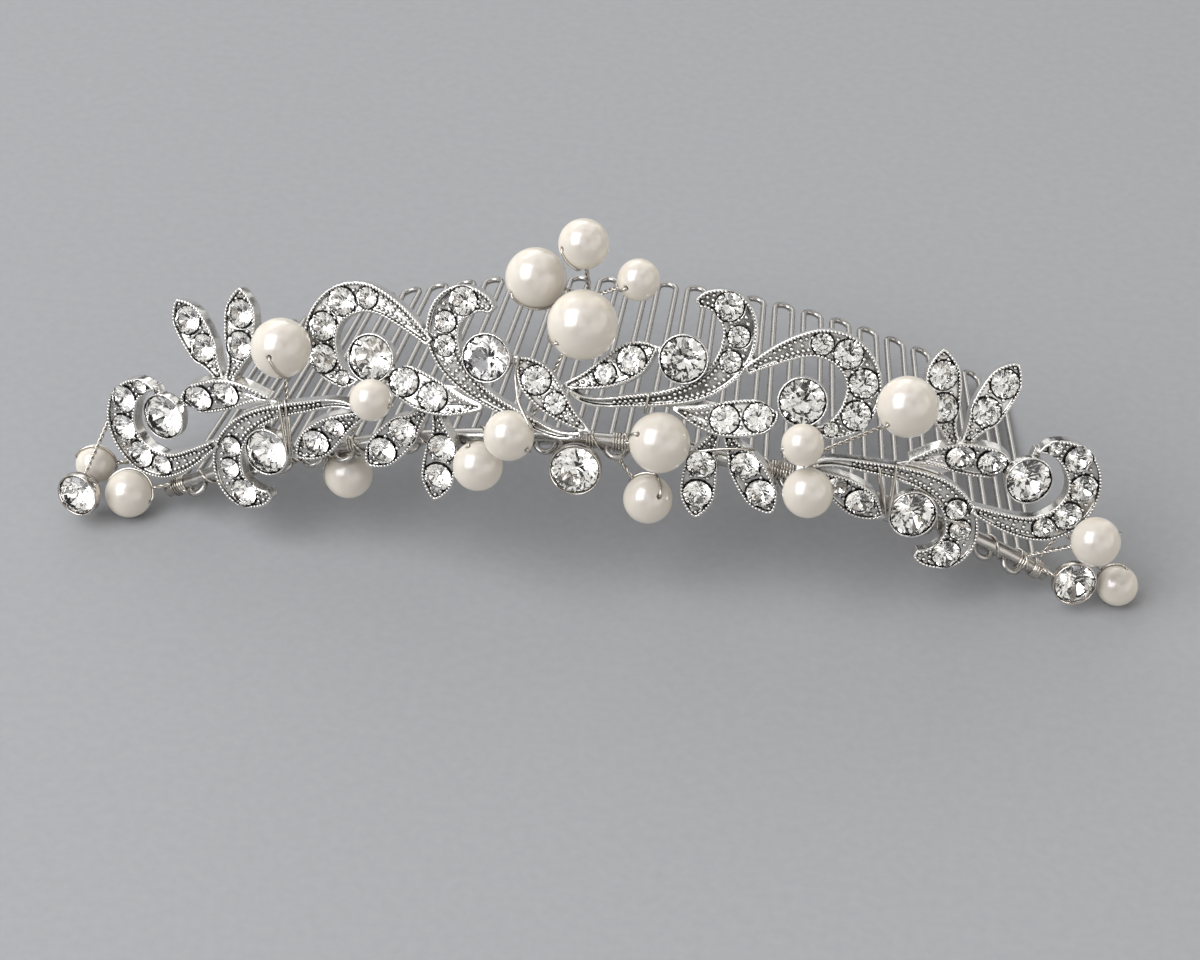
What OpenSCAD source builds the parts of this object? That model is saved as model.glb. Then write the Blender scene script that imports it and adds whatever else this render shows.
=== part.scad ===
/* [Comb] */
// Radius of the arch that the spine is bent to
arch_radius = 92; // [88:1:96]
// Length of the spine along its arch
spine_length = 109; // [107:0.5:111]
// Thickness of the spine wire
spine_wire = 1.8; // [1.5:0.1:2]
// Distance from one tooth to the next
tooth_pitch = 4; // [3.6:0.1:5]
// Distance between the two legs of a tooth
tooth_width = 2.2; // [1.8:0.1:2.6]
// Length of a tooth from the spine to its round tip
tooth_length = 36; // [32:1:40]
// Thickness of the tooth wire
tooth_wire = 0.7; // [0.5:0.05:0.9]
// Height of the band's ends above the table that the comb rests on
end_height = 2.8; // [2.6:0.1:3.2]

/* [Band of sprigs] */
// How far the resting comb tips its arch forward, in degrees
rest_tilt = 8; // [7:0.5:9]
// How far the band of sprigs leans back from the arch, in degrees
band_lean = 28; // [26:1:30]
// Length of one sprig casting, which also spaces the band
sprig_length = 35; // [34.8:0.1:35.4]
// Thickness of the cast metal
metal = 1.6; // [1.4:0.05:1.7]
// Width of the raised rim along a casting's edge
rim = 0.3; // [0.25:0.01:0.34]
// Depth of the floor below the rim
floor_depth = 0.4; // [0.3:0.05:0.5]
// How far the two lower leaves bend back, in degrees
leaf_droop = 15; // [13:1:17]
// How far the C scroll bends back, in degrees
scroll_bend = 4; // [2:1:6]
// Wall of a stone's cup at its mouth
cup_wall = 0.2; // [0.16:0.02:0.26]
// Height of a stone's cup
cup_height = 2.4; // [2.3:0.05:2.6]
// Width of the solder strips that hold the cups
tab = 0.9; // [0.7:0.1:1.1]

/* [Stones] */
// Largest stones in the castings
big_stone = 3.2; // [3:0.05:3.3]
// Middle stones in the castings
mid_stone = 2.4; // [2.2:0.05:2.6]
// Smallest stones in the castings
small_stone = 1.6; // [1.4:0.05:1.8]
// Round stones in the castings' cups
cup_stone = 5; // [4.9:0.05:5.1]
// Round stone that hangs at the middle
middle_stone = 5.3; // [5.1:0.1:5.5]
// Round stones at the ends of the band
end_stone = 4.6; // [4.4:0.1:4.8]
// Gap between a stone or a bead and what holds it
gap = 0.1; // [0.1:0.01:0.12]

/* [Pearls] */
// Large pearl at the top of the band
large_pearl = 7.8; // [7.5:0.1:8.1]
// Second size of pearl
second_pearl = 6.8; // [6.6:0.1:7]
// Third size of pearl
third_pearl = 5.6; // [5.4:0.1:5.8]
// Smallest pearls
small_pearl = 4.7; // [4.5:0.1:4.9]
// Thickness of the twisted wires that hold the pearls
pearl_wire = 0.45; // [0.35:0.05:0.55]

/* [Hidden] */
$fn = 48;

// Points of a curve between neighbouring rows
curve_steps = 3;
// Half the width of a scroll or leaf that holds the largest stone between its rims
scroll_half = big_stone / 2 + gap + rim;
// Heights of a stone above and below its girdle, and its table, as shares of its diameter
crown_share = 0.2;
pavilion_share = 0.42;
table_share = 0.58;
// Hole behind a stone, as a share of its diameter, and the depth of the ledge round it
back_hole_share = 0.72;
ledge_share = pavilion_share * (1 - back_hole_share);
// Upright gap that keeps a stone's slanted underside a full gap clear of the ledge
ledge_gap = gap * norm([1, 2 * pavilion_share]);

// Angle round the arch of a place along the spine, in mm
function arch_angle(along) = along / arch_radius * 180 / PI;

// The spine's wire lies behind the band's foot.
spine_radius = arch_radius - spine_wire / 2 * sin(band_lean);
spine_back = spine_wire / 2 * cos(band_lean);

// Places on a sprig and on the band are in hundredths of a sprig's length.
hundredth = sprig_length / 100;
// Where the band ends, and where the spine under it ends
band_end = 155.7;
spine_end = spine_length / 2 / hundredth;

// Height of the band's foot above the table at the middle of the arch
rest_height = end_height + arch_radius * (1 - cos(arch_angle(band_end * hundredth))) * cos(rest_tilt);

// Columns: along, up, share of the scroll's half width
S_SCROLL = [
    [-15.2, 25.4, 0.26], [-12, 26.7, 0.52], [-7.4, 26.3, 0.8], [-3.7, 24.3, 0.98], [-1.4, 20.9, 1],
    [-0.9, 16.9, 0.98], [-1.7, 12.6, 0.95], [-4.3, 8, 0.85], [-9.1, 3.4, 0.7], [-15.7, 0, 0.55],
    [-24.3, -2.6, 0.42], [-34.3, -4.3, 0.35], [-42.9, -5.6, 0.27], [-49, -5.2, 0.22], [-53.7, -3.1, 0.15]];
C_SCROLL = [
    [1.4, 8.9, 0.25], [10.9, 14.3, 0.52], [18.9, 17.7, 0.67], [26, 18.6, 0.85], [33.1, 16, 0.98],
    [37.7, 10.3, 1], [38.9, 3.4, 1], [36.6, -3.1, 0.93], [32, -7.4, 0.67], [27.4, -8.9, 0.4],
    [23.4, -8, 0.07]];
LEAF_1 = [
    [-26.3, 12.6, 0.06], [-29.4, 11.1, 0.6], [-34.3, 8, 1], [-41.1, 3.4, 0.87], [-48, 0, 0.5],
    [-53.1, -1.7, 0.25], [-56, -2.6, 0.08]];
LEAF_2 = [
    [13.1, -4.5, 0.06], [10.9, -5.9, 0.6], [6.3, -6.8, 1], [-3.4, -8.3, 1], [-10.9, -8.5, 0.65],
    [-16.6, -7.4, 0.3], [-20, -6.3, 0.15]];
LEAF_3 = [
    [-11.1, -41.4, 0.06], [-11.1, -38.3, 0.6], [-10.9, -33.1, 1], [-10.3, -22.9, 0.95], [-8.6, -16.6, 0.5],
    [-6.3, -12, 0.3], [-4.6, -9.1, 0.25]];
LEAF_4 = [
    [13.1, -37.4, 0.06], [11.7, -34.9, 0.6], [9.1, -30.6, 1], [3.7, -21.7, 0.97], [0, -16, 0.5],
    [-2.3, -12, 0.3], [-3.4, -9.1, 0.25]];
ROOT = [
    [-26, -3.1, 0.3], [-14, -4, 0.45], [-6, -6, 0.55], [-4, -9.5, 0.6], [-4, -13, 0.45]];
// Columns: along, up, diameter
S_STONES = [[-5.1, 25.4, big_stone], [-1.3, 17.2, mid_stone], [-3.3, 9.9, mid_stone]];
C_STONES = [
    [25.1, 18.6, mid_stone], [33.4, 15.7, big_stone], [38.6, 6.6, big_stone], [36.9, -3.7, big_stone],
    [29.1, -8.4, small_stone]];
LEAF_1_STONES = [[-34.3, 7.9, big_stone], [-42.3, 2.7, mid_stone]];
LEAF_2_STONES = [[6.9, -6.7, big_stone], [-3.6, -8.3, big_stone]];
LEAF_3_STONES = [[-10.9, -33, big_stone], [-10.3, -22.6, big_stone]];
LEAF_4_STONES = [[9.2, -30.7, big_stone], [3.7, -21.6, big_stone]];
// Middles of the upper cup, beside the S scroll, and of the side cup, inside the C scroll
UPPER_CUP = [-18, 10.9];
SIDE_CUP = [19.7, 0.3];
// Lines about which the castings' pieces are bent: lower leaves, C scroll, and the two rolled leaves
droop_line = -10;
bend_line = 10;
leaf_1_axis = 32;
leaf_2_axis = 8;
leaf_roll = 12;
// Point on the S scroll about which the C scroll is turned
C_PIVOT = [5, 11];

// Columns: along the spine, up the band, out of it, spin, pitch, roll, mirrored across, mirrored up,
// turn of the C scroll, stretch of the S scroll's hook
SPRIGS = [
    [40.6, 23.5, 2.3, 7, -11, -5, 0, 0, 2, 0.12],
    [114, 19.4, 1.7, 21, 0, 2, 0, 1, -7, 0],
    [-50.6, 24.8, 4.3, -21, -10, -6, 1, 0, -7, 0],
    [-121.4, 20, 1.7, -13, 0, -5, 1, 1, -2, 0.04]];

// Columns: along, up and out of the band, diameter, place of the wire's foot along the spine,
// bend of the wire behind the castings
PEARLS = [
    [-5.1, 43, 11.4, large_pearl, -23, [-5.7, 45.7, -8.6]],
    [-19.6, 53.5, -1.4, second_pearl, -23, [-5.7, 45.7, -8.6]],
    [-6.3, 67.2, 4.3, third_pearl, -23, [-5.7, 45.7, -8.6]],
    [8.4, 57.1, 4.3, small_pearl, -23, [-5.7, 45.7, -8.6]],
    [-90.1, 40.3, 14.9, second_pearl, -105.7, [-100, 31.4, -8.6]],
    [-65.3, 21.1, 20, small_pearl, -82.9, [-68.6, 17.1, -8.6]],
    [-88.9, -10.9, -5.7, third_pearl, -94, []],
    [-36.4, -4.2, 14.9, third_pearl, -31.4, []],
    [-24.3, 9.2, 23.4, third_pearl, -25.7, []],
    [19.6, 6.3, 10, second_pearl, 8.6, []],
    [18, -15.9, 2.9, third_pearl, 5.7, []],
    [60.3, 18.7, 20.6, small_pearl, 57.1, []],
    [66.2, 3.1, 19.1, third_pearl, 60, []],
    [85.1, 39.1, 17.1, second_pearl, 62.9, [88.6, 24.3, -8.6]],
    [155.3, 21.8, 13.4, third_pearl, spine_end - 10, []],
    [174.7, resting_up(174.7, 5.7, small_pearl), 5.7, small_pearl, spine_end - 4.3, [154.3, 14.3, -7.1]],
    [-174.7, 18.3, 0.6, small_pearl, 4.3 - spine_end, [-154.3, 8.6, -8.6]],
    [-165.1, resting_up(-165.1, 5.4, third_pearl), 5.4, third_pearl, 4.3 - spine_end, []]];
LOOSE_CUPS = [
    [-6.3, -6.6, 8.6, middle_stone, -2.9, []],
    [160.8, 4.9, 8.6, end_stone, spine_end - 3.7, []],
    [-173.1, 13.7, 18.6, end_stone, 7.1 - spine_end, [-162.9, 31.4, -5.7]]];

// A place on the band, in the comb's own frame
function placed(along, up, out) =
    let (
        turn = arch_angle(along * hundredth),
        reach = arch_radius + hundredth * (up * cos(band_lean) + out * sin(band_lean)))
    [reach * sin(turn), hundredth * (up * sin(band_lean) - out * cos(band_lean)), reach * cos(turn) - arch_radius];

// The same place once the comb rests on the table
function rested(p) = [
    p.x,
    p.y * cos(rest_tilt) - p.z * sin(rest_tilt),
    p.y * sin(rest_tilt) + p.z * cos(rest_tilt) + rest_height];

// How far up the band a bead lies that touches the table
function resting_up(along, out, diameter) =
    let (
        turn = arch_angle(along * hundredth),
        flat = rested([0, -out * hundredth * cos(band_lean),
            (arch_radius + out * hundredth * sin(band_lean)) * cos(turn) - arch_radius]),
        rise = sin(band_lean) * sin(rest_tilt) + cos(band_lean) * cos(turn) * cos(rest_tilt))
    (diameter / 2 - flat.z) / rise / hundredth;

// The teeth: how many there are, and how far they dip so that the outer two touch the table
tooth_count = floor((spine_length - tooth_width - tooth_wire) / tooth_pitch) + 1;
tooth_bend = tooth_width / 2;
outer_turn = arch_angle((tooth_count - 1) / 2 * tooth_pitch);
straight = tooth_length - tooth_bend;
root_height = rested([0, spine_back, spine_radius * cos(outer_turn) - arch_radius]).z - tooth_wire / 2;
side_slope = sin(outer_turn) * cos(rest_tilt);
tooth_slope = (tooth_bend * sqrt(pow(root_height, 2) + pow(side_slope, 2) * (pow(straight, 2) - pow(tooth_bend, 2)))
    - straight * root_height) / (pow(straight, 2) - pow(tooth_bend, 2));
upright = cos(outer_turn) * cos(rest_tilt);
tooth_dip = atan2(sin(rest_tilt), upright) - asin(tooth_slope / norm([sin(rest_tilt), upright]));

// The resting comb's box, which is centred on the origin
BEADS = concat(PEARLS, [for (b = LOOSE_CUPS) [b[0], b[1], b[2], 2 * cup_radius(b[3])]]);
BEAD_PLACES = [for (b = BEADS) rested(placed(b[0], b[1], b[2]))];
left_edge = min([for (i = [0 : len(BEADS) - 1]) BEAD_PLACES[i].x - BEADS[i][3] / 2]);
right_edge = max([for (i = [0 : len(BEADS) - 1]) BEAD_PLACES[i].x + BEADS[i][3] / 2]);
front_edge = min([for (i = [0 : len(BEADS) - 1]) BEAD_PLACES[i].y - BEADS[i][3] / 2]);
back_edge = rested([0, spine_back + tooth_length * cos(tooth_dip),
    spine_radius * cos(outer_turn) - arch_radius - tooth_length * sin(tooth_dip) * cos(outer_turn)]).y
    + tooth_wire / 2;

// A point on the smooth curve from row b to row c, between rows a and d
function curve_point(a, b, c, d, t) =
    0.5 * (2 * b + (c - a) * t + (2 * a - 5 * b + 4 * c - d) * t * t + (3 * b - a - 3 * c + d) * t * t * t);

// The rows of a table with smooth steps between them
function smooth(rows) = [
    for (i = [0 : len(rows) - 2], k = [0 : curve_steps - 1])
        curve_point(rows[max(i - 1, 0)], rows[i], rows[i + 1], rows[min(i + 2, len(rows) - 1)], k / curve_steps),
    rows[len(rows) - 1]];

// The S scroll's rows with the hook above its stem stretched
function stretched(rows, share) = [for (r = rows) [r.x, r.y > 0 ? r.y * (1 + share) : r.y, r.z]];

// One edge of a strip: side is 1 for the left edge and -1 for the right
function strip_edge(rows, side) = [
    for (i = [0 : len(rows) - 1])
        let (
            before = rows[max(i - 1, 0)],
            after = rows[min(i + 1, len(rows) - 1)],
            run = [after.x - before.x, after.y - before.y] / norm([after.x - before.x, after.y - before.y]),
            reach = side * rows[i].z * scroll_half)
        [rows[i].x * hundredth - reach * run.y, rows[i].y * hundredth + reach * run.x]];

function reversed(points) = [for (i = [len(points) - 1 : -1 : 0]) points[i]];

module strip_outline(rows) {
    path = smooth(rows);
    polygon(concat(strip_edge(path, 1), reversed(strip_edge(path, -1))));
}

// A cast strip with a rim round its sunk floor
module strip(rows) {
    difference() {
        linear_extrude(metal) strip_outline(rows);
        translate([0, 0, metal - floor_depth])
            linear_extrude(metal) offset(delta = -rim) strip_outline(rows);
    }
}

// Places of the castings' pieces
module on_lower_leaf() {
    translate([0, droop_line * hundredth, -floor_depth]) rotate([leaf_droop, 0, 0])
        translate([0, -droop_line * hundredth, 0]) children();
}

module on_c_scroll(turn) {
    translate([bend_line * hundredth, 0, 0]) rotate([0, scroll_bend, 0])
        translate([-bend_line * hundredth, 0, 0])
            translate(C_PIVOT * hundredth) rotate([0, 0, turn]) translate(-C_PIVOT * hundredth) children();
}

module on_rolled_leaf(stones, axis) {
    middle = (stones[0] + stones[1]) * hundredth / 2;
    translate([middle.x, middle.y, -floor_depth]) rotate([0, 0, axis]) rotate([-leaf_roll, 0, 0])
        rotate([0, 0, -axis]) translate([-middle.x, -middle.y, 0]) children();
}

// A cut stone with its girdle at the origin
module stone(diameter, sides) {
    outer = diameter / 2;
    ring = [for (i = [0 : sides - 1]) [cos((i + 0.5) * 360 / sides), sin((i + 0.5) * 360 / sides), 0]];
    corners = concat(
        [for (p = ring) p * outer * table_share + [0, 0, crown_share * diameter]],
        [for (p = ring) p * outer],
        [[0, 0, -pavilion_share * diameter]]);
    polyhedron(corners, concat(
        [[for (i = [sides - 1 : -1 : 0]) i]],
        [for (i = [0 : sides - 1]) [i, (i + 1) % sides, (i + 1) % sides + sides, i + sides]],
        [for (i = [0 : sides - 1]) [i + sides, (i + 1) % sides + sides, 2 * sides]]));
}

// Height of a stone's girdle above a casting's back
girdle_height = metal - rim / 2;

module at_stones(stones) {
    for (s = stones)
        translate([s.x * hundredth, s.y * hundredth, girdle_height]) {
            $stone = s.z;
            children();
        }
}

// Depth of the ledge below a stone's girdle
function ledge_depth(diameter) = ledge_share * diameter + ledge_gap;

// The hole that a stone sits in
module seat(diameter) {
    translate([0, 0, -ledge_depth(diameter)]) cylinder(h = 2 * metal, d = diameter + 2 * gap);
    translate([0, 0, -2 * metal]) cylinder(h = 3 * metal, d = back_hole_share * diameter);
}

// Puts its child at each small stone of a casting; the row is the casting's own in the table of sprigs
module at_casting_stones(row) {
    at_stones(stretched(S_STONES, row[9])) children();
    on_c_scroll(row[8]) at_stones(C_STONES) children();
    on_rolled_leaf(LEAF_1_STONES, leaf_1_axis) at_stones(LEAF_1_STONES) children();
    on_rolled_leaf(LEAF_2_STONES, leaf_2_axis) at_stones(LEAF_2_STONES) children();
    on_lower_leaf() at_stones(concat(LEAF_3_STONES, LEAF_4_STONES)) children();
}

// Outer radius of a stone's cup at its mouth
function cup_radius(diameter) = diameter / 2 + gap + cup_wall;

// Height of the girdle of a stone in a cup
girdle_in_cup = cup_height - cup_wall;

// A cup open at its back, which tapers below the stone's ledge
module cup_body(diameter) {
    shoulder = girdle_in_cup - ledge_depth(diameter) - cup_wall;
    cylinder(h = shoulder, r1 = cup_radius(diameter) * back_hole_share, r2 = cup_radius(diameter));
    translate([0, 0, shoulder]) cylinder(h = cup_height - shoulder, r = cup_radius(diameter));
}

module cup_hole(diameter) {
    translate([0, 0, girdle_in_cup]) seat(diameter);
}

// A strip of solder from a scroll to a cup
module solder(from, to) {
    way = [to.x - from.x, to.y - from.y] * hundredth;
    translate([from.x, from.y, 0] * hundredth) rotate([0, 0, atan2(way.y, way.x)])
        translate([-tab / 2, -tab / 2, 0]) cube([norm(way) + tab / 2, tab, metal - floor_depth]);
}

module cast_sprig(row) {
    difference() {
        union() {
            strip(stretched(S_SCROLL, row[9]));
            on_c_scroll(row[8]) strip(C_SCROLL);
            on_rolled_leaf(LEAF_1_STONES, leaf_1_axis) strip(LEAF_1);
            on_rolled_leaf(LEAF_2_STONES, leaf_2_axis) strip(LEAF_2);
            on_lower_leaf() {
                strip(LEAF_3);
                strip(LEAF_4);
            }
            linear_extrude(metal / 2) strip_outline(ROOT);
            translate(UPPER_CUP * hundredth) cup_body(cup_stone);
            on_c_scroll(row[8]) translate(SIDE_CUP * hundredth) cup_body(cup_stone);
            solder(LEAF_1[0], UPPER_CUP);
            solder(S_SCROLL[9], UPPER_CUP);
            on_c_scroll(row[8]) solder(C_SCROLL[10], SIDE_CUP);
        }
        at_casting_stones(row) seat($stone);
        translate(UPPER_CUP * hundredth) cup_hole(cup_stone);
        on_c_scroll(row[8]) translate(SIDE_CUP * hundredth) cup_hole(cup_stone);
    }
}

// The comb's own frame, laid on the table with its box centred on the origin
module at_rest() {
    translate([-(left_edge + right_edge) / 2, -(front_edge + back_edge) / 2, rest_height])
        rotate([rest_tilt, 0, 0]) children();
}

// Places on the band: along the spine, up the band and out of its face
module on_band(along, up, out) {
    translate([0, 0, -arch_radius]) rotate([0, arch_angle(along * hundredth), 0])
        translate([0, 0, arch_radius]) rotate([90 - band_lean, 0, 0])
            translate([0, up, out] * hundredth) children();
}

module on_sprig(row) {
    at_rest() on_band(row[0], row[1], row[2]) rotate([0, 0, row[3]]) rotate([row[4], 0, 0])
        rotate([0, row[5], 0]) mirror([row[6], 0, 0]) mirror([0, row[7], 0]) children();
}

// A round wire between two points, which may start before the first one
module rod(from, to, thickness, before = 0) {
    way = to - from;
    translate(from) rotate([0, acos(way.z / norm(way)), atan2(way.y, way.x)])
        translate([0, 0, -before]) cylinder(h = norm(way) + before, d = thickness);
}

// Where a bead's wire starts: just clear of the spine, on the side that it leaves for
function wire_foot(bead) =
    let (
        toward = len(bead[5]) > 0 ? bead[5] : bead,
        way = [toward[1] * hundredth, toward[2] * hundredth + spine_wire / 2],
        reach = (spine_wire / 2 + gap + pearl_wire) / norm(way) / hundredth)
    placed(bead[4], way.x * reach, way.y * reach - spine_wire / 2 / hundredth);

// The point from which a bead's wire runs straight into it
function wire_start(bead) = len(bead[5]) > 0 ? placed(bead[5][0], bead[5][1], bead[5][2]) : wire_foot(bead);

// A bead's wire, from the spine to the point given; at a bend its two stretches overlap by half a wire
module bead_wire(bead, end) {
    if (len(bead[5]) > 0) {
        rod(wire_start(bead), end, pearl_wire, pearl_wire / 2);
        rod(wire_start(bead), wire_foot(bead), pearl_wire, pearl_wire / 2);
    } else {
        rod(wire_foot(bead), end, pearl_wire);
    }
}

// One spring wire bent to a U, from the spine's middle to its tip
module tooth() {
    for (side = [-1, 1])
        translate([side * tooth_bend, 0, 0]) rotate([-90, 0, 0]) cylinder(h = straight, d = tooth_wire);
    translate([0, straight, 0])
        rotate_extrude(angle = 180) translate([tooth_bend, 0]) circle(d = tooth_wire);
}

module wire_comb() {
    color("silver") at_rest() translate([0, spine_back, -arch_radius]) {
        rotate([90, 0, 0]) rotate([0, 0, 90 - arch_angle(spine_length / 2)])
            rotate_extrude(angle = arch_angle(spine_length)) translate([spine_radius, 0]) circle(d = spine_wire);
        for (i = [0 : tooth_count - 1])
            rotate([0, arch_angle((i - (tooth_count - 1) / 2) * tooth_pitch), 0])
                translate([0, 0, spine_radius]) rotate([-tooth_dip, 0, 0]) tooth();
    }
}

module sprig(row) {
    color("silver") on_sprig(row) cast_sprig(row);
}

module pave(row) {
    color("white") on_sprig(row) at_casting_stones(row) stone($stone, 8);
}

module upper_stone(row) {
    color("white") on_sprig(row) translate(UPPER_CUP * hundredth) translate([0, 0, girdle_in_cup])
        stone(cup_stone, 12);
}

module side_stone(row) {
    color("white") on_sprig(row) on_c_scroll(row[8]) translate(SIDE_CUP * hundredth)
        translate([0, 0, girdle_in_cup]) stone(cup_stone, 12);
}

// The point in a loose cup's wall, near its back, where its wire ends
function cup_wall_point(bead) =
    let (
        toward = len(bead[5]) > 0 ? bead[5] : [bead[4], 0],
        way = [toward[0] - bead[0], toward[1] - bead[1]],
        reach = (cup_radius(bead[3]) * back_hole_share - cup_wall / 2) / norm(way) / hundredth)
    placed(bead[0] + way.x * reach, bead[1] + way.y * reach,
        bead[2] - (girdle_in_cup - pearl_wire) / hundredth);

// A cup on a wire of its own; its place in the table is that of the stone's girdle
module loose_cup(bead) {
    color("silver") at_rest() {
        on_band(bead[0], bead[1], bead[2]) difference() {
            translate([0, 0, -girdle_in_cup]) cup_body(bead[3]);
            seat(bead[3]);
        }
        bead_wire(bead, cup_wall_point(bead));
    }
}

module loose_stone(bead) {
    color("white") at_rest() on_band(bead[0], bead[1], bead[2]) stone(bead[3], 12);
}

// A pearl drilled to its middle for its wire
module pearl(bead) {
    middle = placed(bead[0], bead[1], bead[2]);
    color("ivory") at_rest() difference() {
        translate(middle) sphere(d = bead[3]);
        rod(middle, middle + (wire_start(bead) - middle) * bead[3] / norm(wire_start(bead) - middle),
            pearl_wire + 2 * gap);
    }
}

// The wires of the pearls from first to last, each ending just short of the middle of its pearl
module pearl_wires(first, last) {
    color("silver") at_rest() for (i = [first : last]) {
        middle = placed(PEARLS[i][0], PEARLS[i][1], PEARLS[i][2]);
        back = wire_start(PEARLS[i]) - middle;
        bead_wire(PEARLS[i], middle + back * gap / norm(back));
    }
}

wire_comb();
sprig(SPRIGS[0]);  // sprig_inner_right
sprig(SPRIGS[1]);  // sprig_outer_right
sprig(SPRIGS[2]);  // sprig_inner_left
sprig(SPRIGS[3]);  // sprig_outer_left
pave(SPRIGS[0]);  // pave_inner_right
pave(SPRIGS[1]);  // pave_outer_right
pave(SPRIGS[2]);  // pave_inner_left
pave(SPRIGS[3]);  // pave_outer_left
upper_stone(SPRIGS[0]);  // upper_stone_inner_right
upper_stone(SPRIGS[1]);  // upper_stone_outer_right
upper_stone(SPRIGS[2]);  // upper_stone_inner_left
upper_stone(SPRIGS[3]);  // upper_stone_outer_left
side_stone(SPRIGS[0]);  // side_stone_inner_right
side_stone(SPRIGS[1]);  // side_stone_outer_right
side_stone(SPRIGS[2]);  // side_stone_inner_left
side_stone(SPRIGS[3]);  // side_stone_outer_left
loose_cup(LOOSE_CUPS[0]);  // cup_middle
loose_cup(LOOSE_CUPS[1]);  // cup_right_end
loose_cup(LOOSE_CUPS[2]);  // cup_left_end
loose_stone(LOOSE_CUPS[0]);  // stone_middle
loose_stone(LOOSE_CUPS[1]);  // stone_right_end
loose_stone(LOOSE_CUPS[2]);  // stone_left_end
pearl(PEARLS[0]);  // pearl_1
pearl(PEARLS[1]);  // pearl_2
pearl(PEARLS[2]);  // pearl_3
pearl(PEARLS[3]);  // pearl_4
pearl(PEARLS[4]);  // pearl_5
pearl(PEARLS[5]);  // pearl_6
pearl(PEARLS[6]);  // pearl_7
pearl(PEARLS[7]);  // pearl_8
pearl(PEARLS[8]);  // pearl_9
pearl(PEARLS[9]);  // pearl_10
pearl(PEARLS[10]);  // pearl_11
pearl(PEARLS[11]);  // pearl_12
pearl(PEARLS[12]);  // pearl_13
pearl(PEARLS[13]);  // pearl_14
pearl(PEARLS[14]);  // pearl_15
pearl(PEARLS[15]);  // pearl_16
pearl(PEARLS[16]);  // pearl_17
pearl(PEARLS[17]);  // pearl_18
pearl_wires(0, 3);  // wires_top
pearl_wires(4, 6);  // wires_left
pearl_wires(7, 10);  // wires_middle
pearl_wires(11, 13);  // wires_right
pearl_wires(14, 15);  // wires_right_end
pearl_wires(16, 17);  // wires_left_end
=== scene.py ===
import math

import bpy
import numpy as np
from mathutils import Matrix, Vector
from mathutils.bvhtree import BVHTree


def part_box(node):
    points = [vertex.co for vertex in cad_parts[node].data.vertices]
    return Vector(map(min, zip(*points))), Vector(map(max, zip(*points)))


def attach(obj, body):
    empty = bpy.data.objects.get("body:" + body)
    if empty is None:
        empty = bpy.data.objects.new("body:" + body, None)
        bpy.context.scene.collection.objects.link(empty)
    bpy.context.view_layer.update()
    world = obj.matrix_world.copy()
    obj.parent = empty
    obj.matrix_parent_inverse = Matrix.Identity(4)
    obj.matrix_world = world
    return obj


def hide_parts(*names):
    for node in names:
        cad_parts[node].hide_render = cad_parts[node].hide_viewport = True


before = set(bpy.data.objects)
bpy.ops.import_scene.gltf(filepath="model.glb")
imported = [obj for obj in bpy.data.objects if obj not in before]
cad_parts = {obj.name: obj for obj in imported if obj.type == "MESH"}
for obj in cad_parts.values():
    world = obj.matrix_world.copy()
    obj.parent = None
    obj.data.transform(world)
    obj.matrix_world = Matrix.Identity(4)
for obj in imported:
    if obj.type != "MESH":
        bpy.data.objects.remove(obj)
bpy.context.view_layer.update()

# The wire comb. A spine of drawn wire is bent to the head's arch, and a thinner spring wire is bent
# to and fro over it: long teeth behind, and a short loop in front between each two teeth. A fine
# binding wire runs round the spine. All of it is brass, silver plated.
MM = 0.001
ARCH_RADIUS = 92
BAND_LEAN = math.radians(28)
REST_TILT = math.radians(8)
HUNDREDTH = 0.35
SPINE_WIRE = 1.8
SPINE_RADIUS = ARCH_RADIUS - SPINE_WIRE / 2 * math.sin(BAND_LEAN)
SPINE_BACK = SPINE_WIRE / 2 * math.cos(BAND_LEAN)
TOOTH_PITCH = 4
TOOTH_COUNT = 27
LOOP_WIRE = 0.7
LOOP_HALF = 1.1
LOOP_STRAIGHT = 0.9
LOOP_SHORTER = (0.6, 0.3)
LOOP_DIP = math.radians(12)
LOOP_GAP = 0.1
LEG_STEPS = 6
BEND_STEPS = 12
BINDING_WIRE = 0.32
BINDING_STEPS = 20


def placed(along, up, out):
    """A place on the band, in hundredths of a sprig's length, as mm in the comb's own frame."""
    turn = along * HUNDREDTH / ARCH_RADIUS
    reach = ARCH_RADIUS + HUNDREDTH * (up * math.cos(BAND_LEAN) + out * math.sin(BAND_LEAN))
    return Vector((
        reach * math.sin(turn),
        HUNDREDTH * (up * math.sin(BAND_LEAN) - out * math.cos(BAND_LEAN)),
        reach * math.cos(turn) - ARCH_RADIUS))


# The comb's own frame as it rests in the CAD frame, in mm, found from the large pearl's place
tilt = Matrix.Rotation(REST_TILT, 4, "X")
low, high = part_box("pearl_1")
AT_REST = Matrix.Translation((low + high) / 2 / MM - tilt @ placed(-5.1, 43, 11.4)) @ tilt


def on_spine(along, angle, reach):
    """A point round the spine's wire: angle 0 is behind it, a quarter turn is on top of it."""
    turn = along / ARCH_RADIUS
    radial = SPINE_RADIUS + reach * math.sin(angle)
    point = Vector((
        radial * math.sin(turn),
        SPINE_BACK + reach * math.cos(angle),
        radial * math.cos(turn) - ARCH_RADIUS))
    return AT_REST @ point


def frames(path):
    """Two unit vectors across a path at each of its points, which turn as little as they can."""
    run = np.gradient(path, axis=0)
    run /= np.linalg.norm(run, axis=1)[:, None]
    first = np.cross(run[0], (0, 0, 1) if abs(run[0][2]) < 0.9 else (1, 0, 0))
    across = [first / np.linalg.norm(first)]
    for direction in run[1:]:
        turned = across[-1] - direction * np.dot(across[-1], direction)
        across.append(turned / np.linalg.norm(turned))
    across = np.array(across)
    return across, np.cross(run, across)


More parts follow.
